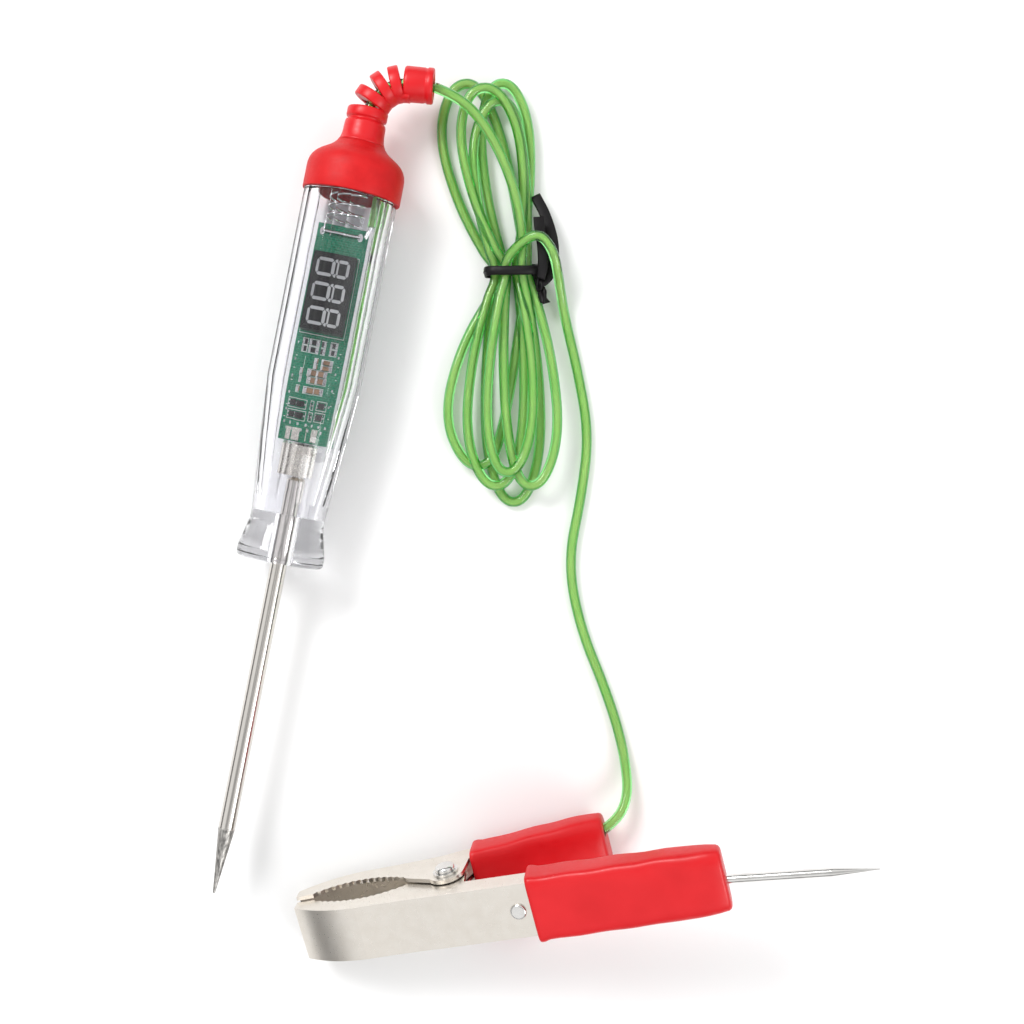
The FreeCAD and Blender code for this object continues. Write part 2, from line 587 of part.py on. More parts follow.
coil_pitch = size("spring_wire * 2.4")
coil_length = coil_pitch * size("spring_turns")
winding = Part.Wire(Part.makeHelix(coil_pitch, coil_length, size("spring_coil")))
wire_ring = Part.Wire(Part.Circle(Vector(size("spring_coil"), 0, 0), Vector(0, 1, 0),
                                  size("spring_wire")).toShape())
torsion = winding.makePipeShell([wire_ring], True, True)
torsion.Placement = Placement(pivot + sideways * (coil_length / 2), Rotation(Vector(1, 0, 0), 90))
legs = []
LEG_REACH = 3.5
for side, end_side in ((1, -1), (-1, 1)):
    start = pivot + Vector(size("spring_coil"), end_side * coil_length / 2, 0)
    slope = handle_slope(front_reach, front_end) if side > 0 else handle_slope(rear_reach, rear_end)
    depth = size("bend_depth") + slope * (start.x + LEG_REACH - size("bend_reach")) - sheet_metal
    end = Vector(start.x + LEG_REACH, start.y, side * (depth - size("spring_wire") - 0.15))
    legs.append(Part.makeCylinder(size("spring_wire"), (end - start).Length, start, end - start))
clip_nodes.append(solid("torsion_spring", torsion.fuse(legs[0]).fuse(legs[1])))

# cord in the rear handle: through the grip's end to a crimped sleeve on the handle's web
rear_slope = -handle_slope(rear_reach, rear_end)
cord_way = Vector(1, 0, rear_slope).normalize()
crimp_back = size("crimp_back")
cord_end = Vector(rear_grip_end, size("cord_side"),
                  -rear_end + rear_slope * size("rear_grip_over") + size("cord_lift"))
held = Part.makeCylinder(size("cord_radius"), crimp_back, cord_end, cord_way * -1)
passage = Part.makeCylinder(size("cord_radius + 2 * fit_gap"), crimp_back + 4, cord_end + cord_way * 2,
                            cord_way * -1)
clip_nodes.append(solid("rear_grip", rear_grip.cut(passage)))
clip_nodes.append(solid("cord_in_clip", held))
crimp_spot = cord_end - cord_way * crimp_back
crimp = Part.makeCylinder(size("crimp_radius"), size("crimp_length"), crimp_spot + cord_way * 0.5,
                          cord_way)
crimp = crimp.cut(Part.makeCylinder(size("cord_radius + fit_gap / 2"), size("crimp_length"),
                                    crimp_spot + cord_way * 0.5, cord_way))
clip_nodes.append(solid("cord_crimp", crimp))

# the clip's place: heading across the surface, rocked onto its rear grip, one edge on the surface
clip_turn = Rotation(Vector(0, 0, 1), size("clip_heading"))
clip_turn = clip_turn.multiply(Rotation(Vector(0, 1, 0), -size("clip_pitch")))
clip_turn = clip_turn.multiply(Rotation(Vector(1, 0, 0), size("clip_roll")))
doc.recompute()
lowest = 0.0
for item in clip_nodes:
    moved = item.Shape.copy()
    moved.Placement = Placement(Vector(), clip_turn)
    lowest = min(lowest, moved.optimalBoundingBox(False).ZMin)
clip_place = Placement(Vector(size("clip_place_x"), size("clip_place_y"), -lowest), clip_turn)
for item in clip_nodes:
    item.Placement = clip_place

# ---- cord: lead over the hank, the tied hank, and the tail along the surface to the clip --------------
lead_start = handle_place.multVec(mouth_end)
LEAD = [
    Vector(21.5, 111.8, 12.6), Vector(29.0, 106.8, 11.4), Vector(37.0, 97.0, 10.2),
    Vector(42.2, 86.5, 10.0), Vector(44.0, 77.5, 8.0),
]
tube("cord_lead", [lead_start] + LEAD, size("cord_radius"))

TAIL = [
    Vector(45.2, 77.0, 5.2), Vector(51.4, 75.0, 3.0), Vector(57.2, 66.2, 1.32),
    Vector(64.4, 51.0, 1.32), Vector(70.2, 36.0, 1.32), Vector(71.4, 20.0, 1.32),
    Vector(71.2, 3.0, 1.32), Vector(77.5, -13.0, 1.32), Vector(87.8, -28.5, 1.32),
    Vector(94.9, -42.0, 1.32), Vector(98.4, -54.5, 4.6),
]
tail_end = clip_place.multVec(cord_end)
tube("cord_tail", TAIL + [tail_end], size("cord_radius"))

HANK = [
    (37.4, 74.6), (25.0, 91.0), (16.4, 107.5), (21.5, 119.8), (30.5, 120.8), (39.0, 110.3),
    (44.6, 90.5), (47.9, 71.6), (56.0, 53.0), (62.0, 35.8), (60.6, 22.0), (54.6, 14.2),
    (46.0, 20.6), (35.5, 29.5), (33.2, 50.0),
]
border = Part.BSplineCurve()
border.interpolate([Vector(x, y, 0) for x, y in HANK], PeriodicFlag=True)
hank = Part.Face(Part.Wire(border.toShape())).extrude(Vector(0, 0, size("hank_height")))
solid("cord_hank", hank)

# twist tie: a paper-covered wire band round the hank's waist, its two ends twisted and left standing
TIE_SPOT = Vector(42.6, 72.9, 0)
TIE_TURN = -15.5
tie_width, tie_thick = size("tie_width"), size("tie_thick")
TIE_ROOM = 12.6
tie_tall = size("hank_height") + tie_thick + 0.3
band = Part.makeBox(TIE_ROOM + 2 * tie_thick, tie_width, tie_tall,
                    Vector(-TIE_ROOM / 2 - tie_thick, -tie_width / 2, 0))
band = band.cut(Part.makeBox(TIE_ROOM, 2 * tie_width, tie_tall - tie_thick,
                             Vector(-TIE_ROOM / 2, -tie_width, -0.01)))
band.Placement = Placement(TIE_SPOT, Rotation(Vector(0, 0, 1), TIE_TURN))
KNOT = Vector(50.2, 71.0, 5.0)
TIE_END_RADIUS = 0.5
knot = Part.makeSphere(3 * TIE_END_RADIUS, KNOT)
TIE_ENDS = [[Vector(48.6, 80.5, 8.8), Vector(45.4, 89.0, 12.4)],
            [Vector(51.6, 79.5, 8.0), Vector(47.6, 92.5, 11.0)]]
tie_ends = []
for first, second in TIE_ENDS:
    for start, end in ((KNOT, first), (first, second)):
        tie_ends.append(Part.makeCylinder(TIE_END_RADIUS, (end - start).Length, start, end - start))
    tie_ends.append(Part.makeSphere(TIE_END_RADIUS, first))
tie = band.fuse([knot] + tie_ends)
solid("twist_tie", tie)

# ---- checks and export -------------------------------------------------------------------------------
doc.recompute()
for item in doc.Objects:
    if "Invalid" in item.State or "Error" in item.State:
        raise RuntimeError(f"{item.Name} failed: {item.State}")
os.makedirs("parts", exist_ok=True)
for item in nodes:
    if item.Shape.isNull() or not item.Shape.isValid():
        raise RuntimeError(f"{item.Label} has no valid shape")
    item.Shape.exportStep(f"parts/{item.Label}.step")
print("nodes", len(nodes))
print("handle axis", handle_place.Rotation.multVec(Vector(0, 0, 1)), "tip", handle_place.Base)
print("pivot", clip_place.multVec(pivot), "axis", clip_place.Rotation.multVec(Vector(0, 1, 0)))
print("spike exit", clip_place.multVec(exit_spot), "way", clip_place.Rotation.multVec(spike_way))
print("lead start", lead_start, "tail end", tail_end)
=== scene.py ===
import math

import bmesh
import bpy
from mathutils import Matrix, Vector


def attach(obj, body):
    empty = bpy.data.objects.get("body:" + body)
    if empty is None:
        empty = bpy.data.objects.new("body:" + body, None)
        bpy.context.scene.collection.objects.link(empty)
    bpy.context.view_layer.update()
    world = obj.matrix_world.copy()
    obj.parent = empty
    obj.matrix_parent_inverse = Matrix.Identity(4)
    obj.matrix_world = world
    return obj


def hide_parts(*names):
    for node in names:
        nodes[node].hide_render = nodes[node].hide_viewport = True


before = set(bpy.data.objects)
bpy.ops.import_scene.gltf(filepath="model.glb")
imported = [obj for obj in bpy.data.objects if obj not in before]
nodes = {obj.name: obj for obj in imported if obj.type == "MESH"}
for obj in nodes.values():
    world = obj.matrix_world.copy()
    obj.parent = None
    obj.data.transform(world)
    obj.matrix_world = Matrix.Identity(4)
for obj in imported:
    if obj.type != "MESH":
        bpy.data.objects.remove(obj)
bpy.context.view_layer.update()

MM = 0.001

# ---- Studio ------------------------------------------------------------------------------------------
# The tester lies on a plain white sweep under a high camera, with two soft side lights.  A pale
# dome with a dark horizon and a darker ring near its top gives clear plastic and bright metal their edges.
CENTRE = Vector((54.7, 12.6, 12.0)) * MM
CAMERA_HEIGHT = 0.400
CAMERA_TURN = math.radians(11.2)
FIELD = 0.256
SENSOR = 36
LIGHT_PROPORTION = 0.7

camera_data = bpy.data.cameras.new("camera")
camera_data.sensor_width = SENSOR
camera_data.lens = SENSOR * (CAMERA_HEIGHT - CENTRE.z) / FIELD
camera_data.clip_start = 0.01
camera = bpy.data.objects.new("camera", camera_data)
camera.location = (CENTRE.x, CENTRE.y, CAMERA_HEIGHT)
camera.rotation_euler = (0, 0, CAMERA_TURN)
bpy.context.scene.collection.objects.link(camera)
bpy.context.scene.camera = camera
bpy.context.scene.view_settings.view_transform = "Standard"


def area_light(name, place, aim, width, power):
    """A soft rectangular light, turned towards a point."""
    data = bpy.data.lights.new(name, "AREA")
    data.shape = "RECTANGLE"
    data.size = width
    data.size_y = width * LIGHT_PROPORTION
    data.energy = power
    light = bpy.data.objects.new(name, data)
    light.location = place
    light.rotation_euler = (Vector(aim) - Vector(place)).to_track_quat("-Z", "Y").to_euler()
    bpy.context.scene.collection.objects.link(light)


area_light("key", (-0.55, 0.45, 0.75), CENTRE, 0.45, 6.5)
area_light("fill", (0.75, -0.35, 0.55), CENTRE, 0.5, 3.0)

# the dome's grey by height, from the horizon and below, at 0, to straight up, at 1
DOME = ((0.0, 0.04), (0.28, 0.28), (0.50, 1.08), (0.90, 1.08), (0.975, 0.35), (1.0, 1.0))
DOME_STRENGTH = 0.9
BACKDROP = (0.93, 0.93, 0.94, 1)
world = bpy.data.worlds.new("studio")
world.use_nodes = True
bpy.context.scene.world = world
sky = world.node_tree
sky_coords = sky.nodes.new("ShaderNodeTexCoord")
sky_parts = sky.nodes.new("ShaderNodeSeparateXYZ")
sky_ramp = sky.nodes.new("ShaderNodeValToRGB")
stops = sky_ramp.color_ramp.elements
for place, grey in DOME:
    stop = stops.new(place) if 0 < place < 1 else stops[0 if place == 0 else -1]
    stop.color = (grey, grey, grey, 1)
sky.links.new(sky_coords.outputs["Generated"], sky_parts.inputs[0])
sky.links.new(sky_parts.outputs["Z"], sky_ramp.inputs[0])
sky.links.new(sky_ramp.outputs[0], sky.nodes["Background"].inputs["Color"])
sky.nodes["Background"].inputs["Strength"].default_value = DOME_STRENGTH
backdrop = sky.nodes.new("ShaderNodeBackground")
backdrop.inputs["Color"].default_value = BACKDROP
seen = sky.nodes.new("ShaderNodeLightPath")
choice = sky.nodes.new("ShaderNodeMixShader")
sky.links.new(seen.outputs["Is Camera Ray"], choice.inputs["Fac"])
sky.links.new(sky.nodes["Background"].outputs[0], choice.inputs[1])
sky.links.new(backdrop.outputs[0], choice.inputs[2])
sky.links.new(choice.outputs[0], sky.nodes["World Output"].inputs["Surface"])


def shader(name):
    """A new material: its tree, its principled shader and its object coordinates."""
    material = bpy.data.materials.new(name)
    material.use_nodes = True
    tree = material.node_tree
    coords = tree.nodes.new("ShaderNodeTexCoord")
    return material, tree, tree.nodes["Principled BSDF"], coords.outputs["Object"]


def noise(tree, coords, scale, detail=4.0, stretch=(1, 1, 1)):
    """Noise of a grain given in marks per metre, stretched along chosen axes."""
    mapping = tree.nodes.new("ShaderNodeMapping")
    mapping.inputs["Scale"].default_value = stretch
    texture = tree.nodes.new("ShaderNodeTexNoise")
    texture.inputs["Scale"].default_value = scale
    texture.inputs["Detail"].default_value = detail
    tree.links.new(coords, mapping.inputs["Vector"])
    tree.links.new(mapping.outputs[0], texture.inputs["Vector"])
    return texture.outputs["Fac"]


def spread(tree, factor, low, high):
    """A factor of 0 to 1 spread between two values."""
    node = tree.nodes.new("ShaderNodeMapRange")
    node.inputs["From Min"].default_value = 0.3
    node.inputs["From Max"].default_value = 0.7
    node.inputs["To Min"].default_value = low
    node.inputs["To Max"].default_value = high
    tree.links.new(factor, node.inputs["Value"])
    return node.outputs[0]


def tint(tree, factor, low, high):
    """A colour between two, by a factor."""
    node = tree.nodes.new("ShaderNodeMix")
    node.data_type = "RGBA"
    node.inputs["A"].default_value = (*low, 1)
    node.inputs["B"].default_value = (*high, 1)
    tree.links.new(factor, node.inputs["Factor"])
    return node.outputs["Result"]


def bump(tree, base, height, distance, strength=0.5):
    """A surface that rises and falls with a factor, by a distance in metres."""
    node = tree.nodes.new("ShaderNodeBump")
    node.inputs["Distance"].default_value = distance
    node.inputs["Strength"].default_value = strength
    tree.links.new(height, node.inputs["Height"])
    tree.links.new(node.outputs[0], base.inputs["Normal"])


def finish(name, dark, light, rough, metallic=0.0, grain=900, depth=0.00004, shine=0.5):
    """An opaque finish with mottled colour, uneven gloss and a fine surface grain."""
    material, tree, base, coords = shader(name)
    broad = noise(tree, coords, grain / 8)
    fine = noise(tree, coords, grain)
    tree.links.new(tint(tree, spread(tree, broad, 0, 1), dark, light), base.inputs["Base Color"])
    tree.links.new(spread(tree, fine, rough[0], rough[1]), base.inputs["Roughness"])
    base.inputs["Metallic"].default_value = metallic
    base.inputs["Specular IOR Level"].default_value = shine
    bump(tree, base, fine, depth)
    return material


FLOOR = 3.0
floor_mesh = bpy.data.meshes.new("floor")
floor_mesh.from_pydata([(-FLOOR, -FLOOR, 0), (FLOOR, -FLOOR, 0), (FLOOR, FLOOR, 0), (-FLOOR, FLOOR, 0)],
                       [], [(0, 1, 2, 3)])
floor = bpy.data.objects.new("floor", floor_mesh)
bpy.context.scene.collection.objects.link(floor)
floor_mesh.materials.append(finish("sweep", (0.90, 0.90, 0.90), (0.92, 0.92, 0.92), (0.7, 0.8), grain=60,
                                   depth=0.00001))

# ---- Cord --------------------------------------------------------------------------------------------
# One lead of tinned copper strands in a clear green vinyl jacket.  It leaves the strain relief, falls
# over the hank, makes the tied turns and runs along the surface into the clip's rear grip.
CORD_RADIUS = 1.3 * MM
CORE_RADIUS = 0.58 * MM
LEAD = [(15.222, 112.845, 12.464), (21.5, 111.8, 12.5), (29.0, 106.8, 11.4), (37.0, 97.0, 10.2),
        (42.2, 86.5, 8.9), (44.4, 78.5, 6.9)]
TAIL = [(43.6, 79.6, 9.0), (47.8, 82.8, 11.0), (52.4, 78.8, 10.4), (55.2, 72.0, 5.6), (58.0, 64.8, 1.4),
        (64.4, 51.0, 1.32), (70.2, 36.0, 1.32), (71.4, 20.0, 1.32), (71.2, 3.0, 1.32), (77.5, -13.0, 1.32),
        (87.8, -28.5, 1.32), (94.9, -42.0, 1.32), (98.4, -54.5, 4.6), (93.46, -62.16, 7.25),
        (88.7, -65.1, 8.0)]
WAIST = Vector((42.6, 72.9, 0))
WAIST_WAY = Vector((0.26, -0.966, 0))
WAIST_SIDE = Vector((0.966, 0.26, 0))
HALF_WAIST = 2.2
FLOOR_LEVEL = 1.35
LEVEL_STEP = 1.7
LOBE_POINTS = 9
LOBE_BULGE = 1.3
LOBE_TAPER = 0.55


def through_waist(side, height, onward):
    """Two points that carry a strand straight through the tie; onward is 1 down the hank, -1 up it."""
    spot = WAIST + WAIST_SIDE * side + Vector((0, 0, height))
    return [spot - WAIST_WAY * (HALF_WAIST * onward), spot + WAIST_WAY * (HALF_WAIST * onward)]


def lobe(tip, first, second, level, enter, leave):
    """One loop of a turn: out from the tie on its first side, round the tip, and back on its second."""
    tip = Vector((tip[0], tip[1], 0))
    reach = tip - WAIST
    across = Vector((-reach.y, reach.x, 0)).normalized()
    points = []
    for number in range(1, LOBE_POINTS):
        turn = math.tau * number / LOBE_POINTS
        along = (1 - math.cos(turn)) / 2
        outward = turn < math.pi
        width = (first if outward else second) * LOBE_BULGE * abs(math.sin(turn)) * along ** LOBE_TAPER
        side = enter if outward else leave
        near = (1 - along) ** 2
        offset = width if outward else -width
        spot = WAIST + reach * along + across * offset + WAIST_SIDE * (side[0] * near)
        spot.z = level + (side[1] - level) * near
        points.append(spot)
    return points


# down and up places of the strands in the tie, then the tips and widths of the lower and upper loops
DOWN = [(2.7, 6.5), (4.1, 1.35), (1.4, 1.35), (4.1, 3.9), (1.4, 3.9)]
UP = [(-4.1, 1.35), (-1.4, 1.35), (-4.1, 3.9), (-1.4, 3.9), (-1.6, 6.5)]
LOWER = [((54.9, 13.4), 7.5, 7.0), ((45.6, 21.0), 3.4, 12.5), ((50.4, 16.8), 5.5, 9.5),
         ((57.8, 18.2), 9.2, 4.4), ((51.6, 20.6), 6.8, 5.6)]
UPPER = [((21.6, 119.9), 10.6, 5.0), ((30.4, 121.0), 6.4, 7.0), ((31.6, 116.2), 8.4, 4.6),
         ((26.0, 118.0), 8.2, 7.8)]

route = [Vector(point) for point in LEAD]
for turn in range(len(LOWER)):
    route += through_waist(*DOWN[turn], 1)
    tip, right, left = LOWER[turn]
    route += lobe(tip, right, left, FLOOR_LEVEL + LEVEL_STEP * turn, DOWN[turn], UP[turn])
    route += through_waist(*UP[turn], -1)
    if turn < len(UPPER):
        tip, left, right = UPPER[turn]
        level = FLOOR_LEVEL + LEVEL_STEP * turn
        route += lobe(tip, left, right, level, UP[turn], DOWN[turn + 1])
route += [Vector(point) for point in TAIL]


def smooth_curve(name, points, radius, material):
    """A round cord along one open, smooth spline with these points to steer it."""
    curve = bpy.data.curves.new(name, "CURVE")
    curve.dimensions = "3D"
    curve.bevel_depth = radius
    curve.bevel_resolution = 6
    curve.resolution_u = 8
    curve.use_fill_caps = True
    spline = curve.splines.new("NURBS")
    spline.points.add(len(points) - 1)
    for control, point in zip(spline.points, points):
        control.co = (*(Vector(point) * MM), 1)
    spline.order_u = 3
    spline.use_endpoint_u = True
    curve.materials.append(material)
    piece = bpy.data.objects.new(name, curve)
    bpy.context.scene.collection.objects.link(piece)
    return piece


def jacket_material():
    """Clear green vinyl: light goes through it and comes back greener where it is seen edge on."""
    material, tree, base, coords = shader("cord_jacket")
    broad = noise(tree, coords, 120)
    tree.links.new(tint(tree, spread(tree, broad, 0, 1), (0.30, 0.92, 0.30), (0.40, 0.96, 0.38)),
                   base.inputs["Base Color"])
    tree.links.new(spread(tree, noise(tree, coords, 900), 0.04, 0.1), base.inputs["Roughness"])
    base.inputs["Transmission Weight"].default_value = 0.96
    base.inputs["IOR"].default_value = 1.46
    bump(tree, base, noise(tree, coords, 700), 0.00003)
    return material


def core_material():
    """Twisted strands of tinned copper, seen as slanting stripes."""
    material, tree, base, _ = shader("cord_core")
    coords = tree.nodes.new("ShaderNodeTexCoord").outputs["UV"]
    mapping = tree.nodes.new("ShaderNodeMapping")
    mapping.inputs["Rotation"].default_value = (0, 0, math.radians(30))
    mapping.inputs["Scale"].default_value = (900, 6, 1)
    wave = tree.nodes.new("ShaderNodeTexWave")
    wave.inputs["Scale"].default_value = 1.0
    tree.links.new(coords, mapping.inputs["Vector"])
    tree.links.new(mapping.outputs[0], wave.inputs["Vector"])
    tree.links.new(tint(tree, wave.outputs["Fac"], (0.98, 0.60, 0.26), (1.0, 0.92, 0.60)),
                   base.inputs["Base Color"])
    base.inputs["Metallic"].default_value = 0.1
    base.inputs["Roughness"].default_value = 0.4
    bump(tree, base, wave.outputs["Fac"], 0.0001)
    return material


def dress(material, *names):
    """Put a material on CAD nodes in place of their plain one."""
    for name in names:
        slots = nodes[name].data.materials
        if len(slots):
            for number in range(len(slots)):
                slots[number] = material
        else:
            slots.append(material)


jacket = jacket_material()
core = core_material()
cord = smooth_curve("cord", route, CORD_RADIUS, jacket)
strands = smooth_curve("cord_strands", route, CORE_RADIUS, core)
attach(cord, "root")
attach(strands, "root")
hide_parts("cord_lead", "cord_hank", "cord_tail")
dress(jacket, "cord_in_handle", "cord_in_clip")

# ---- Twist tie ---------------------------------------------------------------------------------------
# A flat black plastic ribbon with a wire in it, wrapped once round the waist of the hank and twisted
# shut beside it.  Its two ends lie loose along the hank, one longer than the other.
TIE_WIDTH = 2.3
TIE_END_WIDTH = 2.7
TIE_THICKNESS = 0.7
# the ribbon's outline as shares of its width and thickness, with the ridge over its wire
RIBBON_OUTLINE = ((-0.5, -0.3), (-0.35, -0.5), (0.35, -0.5), (0.5, -0.3), (0.5, 0.3), (0.16, 0.5),
                  (0.0, 0.75), (-0.16, 0.5), (-0.35, 0.5), (-0.5, 0.3))
RIBBON_STEPS = 6


def ribbon(name, path, wide, thick, material, cycle=False, turns=()):
    """A flat strip swept along a path; turns tilts its width about the path, in degrees."""
    path = [Vector(point) for point in path]
    fine = []
    count = len(path)
    spans = count if cycle else count - 1
    for number in range(spans):
        a, b = path[number - 1 if cycle or number else 0], path[number]
        c = path[(number + 1) % count]
        d = path[(number + 2) % count] if cycle or number + 2 < count else c
        for step in range(RIBBON_STEPS):
            t = step / RIBBON_STEPS
            fine.append((b * 2 + (c - a) * t + (a * 2 - b * 5 + c * 4 - d) * t * t
                         + (b * 3 - a - c * 3 + d) * t ** 3) / 2)
    if not cycle:
        fine.append(path[-1])
    verts, faces = [], []
    total = len(fine)
    for number, spot in enumerate(fine):
        ahead = fine[(number + 1) % total] if cycle or number + 1 < total else spot
        behind = fine[number - 1] if cycle or number else spot
        way = (ahead - behind).normalized()
        level = Vector((0, 0, 1)) if not cycle else WAIST_WAY
        broad = level - way * level.dot(way)
        broad.normalize()
        if turns:
            share = number / (total - 1) * (len(turns) - 1)
            low = min(int(share), len(turns) - 2)
            angle = turns[low] + (turns[low + 1] - turns[low]) * (share - low)
            broad = Matrix.Rotation(math.radians(angle), 3, way) @ broad
        flat = way.cross(broad)
        for across, up in RIBBON_OUTLINE:
            verts.append((spot + broad * (across * wide) + flat * (up * thick)) * MM)
    sides = len(RIBBON_OUTLINE)
    for number in range(total if cycle else total - 1):
        here, onward = number * sides, ((number + 1) % total) * sides
        for side in range(sides):
            beside = (side + 1) % sides
            faces.append((here + side, here + beside, onward + beside, onward + side))
    if not cycle:
        faces.append(tuple(range(sides))[::-1])
        faces.append(tuple((total - 1) * sides + side for side in range(sides)))
    return solid_mesh(name, verts, faces, material, smooth=True)


def solid_mesh(name, verts, faces, material, smooth=False):
    """A mesh object from corners in metres, its faces turned outwards."""
    mesh = bpy.data.meshes.new(name)
    mesh.from_pydata([tuple(vert) for vert in verts], [], faces)
    work = bmesh.new()
    work.from_mesh(mesh)
    bmesh.ops.recalc_face_normals(work, faces=work.faces)
    work.to_mesh(mesh)
    work.free()
    if smooth:
        mesh.shade_smooth()
    mesh.materials.append(material)
    piece = bpy.data.objects.new(name, mesh)
    bpy.context.scene.collection.objects.link(piece)
    return piece


def put(piece, body, slot, *names):
    """The body that a piece moves with, its slot (not used), and the CAD nodes that it stands for."""
    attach(piece, body)
    if names:
        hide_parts(*names)


tie_black = finish("tie_plastic", (0.002, 0.002, 0.0025), (0.008, 0.006, 0.007), (0.4, 0.6), grain=1400,
                   depth=0.00006, shine=0.25)
BAND_POINTS = 16
BAND_HALF_WIDTH, BAND_HALF_HEIGHT = 6.7, 4.15
BAND_LEVEL = 4.5
BAND_ROUNDNESS = 0.7
BAND_DROOP = 1.1
band_path = []
for number in range(BAND_POINTS):
    angle = math.tau * number / BAND_POINTS
    across = BAND_HALF_WIDTH * math.copysign(abs(math.cos(angle)) ** BAND_ROUNDNESS, math.cos(angle))
    rise = BAND_HALF_HEIGHT * math.copysign(abs(math.sin(angle)) ** BAND_ROUNDNESS, math.sin(angle))
    droop = BAND_DROOP * math.sin(angle) * math.cos(angle / 2) ** 2
    spot = WAIST + WAIST_SIDE * across + WAIST_WAY * droop
    band_path.append((spot.x, spot.y, BAND_LEVEL + rise))
band = ribbon("tie_band", band_path, TIE_WIDTH, TIE_THICKNESS, tie_black, cycle=True)
put(band, "root", "tie_black", "twist_tie")
KNOT = Vector((50.0, 70.6, 5.0))
# each strip's path from the knot, its width and its turns about that path
FIRST_TWIST = [WAIST + WAIST_SIDE * 5.9 + Vector((0, 0, 5.4)) - KNOT, (0, 0, 0), (1.6, -1.7, 0.4),
               (3.0, -4.2, 0.2)]
SECOND_TWIST = [WAIST + WAIST_SIDE * 6.1 + Vector((0, 0, 3.6)) - KNOT, (0.3, 0.2, 0.6), (1.3, -1.4, 0.2),
                (1.8, -4.4, 0.0)]
LONG_END = [(0.4, 0.2, 0.8), (2.2, 2.8, 0.6), (2.6, 7.0, 0.4), (1.2, 12.4, 0.2), (-1.8, 18.0, -0.6),
            (-5.2, 22.4, -1.6)]
SHORT_END = [(0.2, 1.4, 1.8), (0.2, 5.2, 2.6), (-0.9, 9.6, 3.0), (-2.3, 13.4, 3.2), (-3.2, 16.4, 3.3)]
for name, path, wide, turns in (("tie_stub", FIRST_TWIST, TIE_WIDTH, (80, 200, 330, 420)),
                                ("tie_twist", SECOND_TWIST, TIE_WIDTH, (0, 120, 250, 330)),
                                ("tie_long_end", LONG_END, TIE_END_WIDTH, (60, 80, 90, 90, 95, 95)),
                                ("tie_short_end", SHORT_END, TIE_END_WIDTH, (60, 80, 90, 90, 95))):
    strip = ribbon(name, [KNOT + Vector(point) for point in path], wide, TIE_THICKNESS, tie_black,
                   turns=turns)
    put(strip, "root", "tie_black")

# ---- Needle ------------------------------------------------------------------------------------------
# A drawn and polished steel rod pressed into the barrel's foot.  Its long point is coarsely ground, which
# leaves it greyer than the rod.
HANDLE_TIP = Vector((0, -95.375, 11.362))
HANDLE_LEAN = 0.30316
HANDLE = (Matrix.Translation(HANDLE_TIP * MM)
          @ Matrix.Rotation(math.radians(HANDLE_LEAN - 90), 4, "X"))
POINT_LENGTH = 16.5
POINT_EDGE = 0.3


def steel(name, dark, light, rough, grain=1500, depth=0.000003):
    """A bare or plated metal finish."""
    return finish(name, dark, light, rough, metallic=1.0, grain=grain, depth=depth)


def needle_material():
    """Bright drawn steel, and duller, scored steel from the point's shoulder on."""
    material, tree, base, coords = shader("needle_steel")
    parts = tree.nodes.new("ShaderNodeSeparateXYZ")
    tree.links.new(coords, parts.inputs[0])
    edge = tree.nodes.new("ShaderNodeMapRange")
    shoulder = HANDLE_TIP.y + POINT_LENGTH
    edge.inputs["From Min"].default_value = (shoulder - POINT_EDGE) * MM
    edge.inputs["From Max"].default_value = (shoulder + POINT_EDGE) * MM
    tree.links.new(parts.outputs["Y"], edge.inputs["Value"])
    grind = noise(tree, coords, 1800, detail=6, stretch=(1, 0.35, 1))
    drawn = noise(tree, coords, 2500, stretch=(1, 0.02, 1))
    ground = tint(tree, spread(tree, grind, 0, 1), (0.16, 0.155, 0.15), (0.62, 0.60, 0.57))
    bright = tint(tree, spread(tree, drawn, 0, 1), (0.66, 0.63, 0.59), (0.74, 0.71, 0.67))
    colour = tree.nodes.new("ShaderNodeMix")
    colour.data_type = "RGBA"
    tree.links.new(edge.outputs[0], colour.inputs["Factor"])
    tree.links.new(ground, colour.inputs["A"])
    tree.links.new(bright, colour.inputs["B"])
    tree.links.new(colour.outputs["Result"], base.inputs["Base Color"])
    rough = tree.nodes.new("ShaderNodeMapRange")
    rough.inputs["To Min"].default_value = 0.42
    rough.inputs["To Max"].default_value = 0.17
    tree.links.new(edge.outputs[0], rough.inputs["Value"])
    tree.links.new(rough.outputs[0], base.inputs["Roughness"])
    base.inputs["Metallic"].default_value = 1.0
    height = tree.nodes.new("ShaderNodeMath")
    height.operation = "MULTIPLY"
    height.use_clamp = True
    flip = tree.nodes.new("ShaderNodeMath")
    flip.operation = "SUBTRACT"
    flip.inputs[0].default_value = 1.02
    tree.links.new(edge.outputs[0], flip.inputs[1])
    tree.links.new(flip.outputs[0], height.inputs[0])
    tree.links.new(grind, height.inputs[1])
    bump(tree, base, height.outputs[0], 0.0002, 0.8)
    return material


dress(needle_material(), "probe_needle")

# ---- Barrel ------------------------------------------------------------------------------------------
# One clear acrylic moulding with six long flats, solid round the needle and hollow above.  It is polished
# by its mould, and its gloss is broken only by faint flow waves.
def acrylic_material():
    """Clear plastic with a trace of blue and slow waves in its surface."""
    material, tree, base, coords = shader("clear_acrylic")
    waves = noise(tree, coords, 90, detail=2)
    tree.links.new(tint(tree, spread(tree, waves, 0, 1), (0.950, 0.950, 0.985), (0.985, 0.985, 1.0)),
                   base.inputs["Base Color"])
    tree.links.new(spread(tree, noise(tree, coords, 700), 0.0, 0.03), base.inputs["Roughness"])
    base.inputs["Transmission Weight"].default_value = 1.0
    base.inputs["IOR"].default_value = 1.45
    bump(tree, base, waves, 0.0004, 0.35)
    return material


dress(acrylic_material(), "barrel")

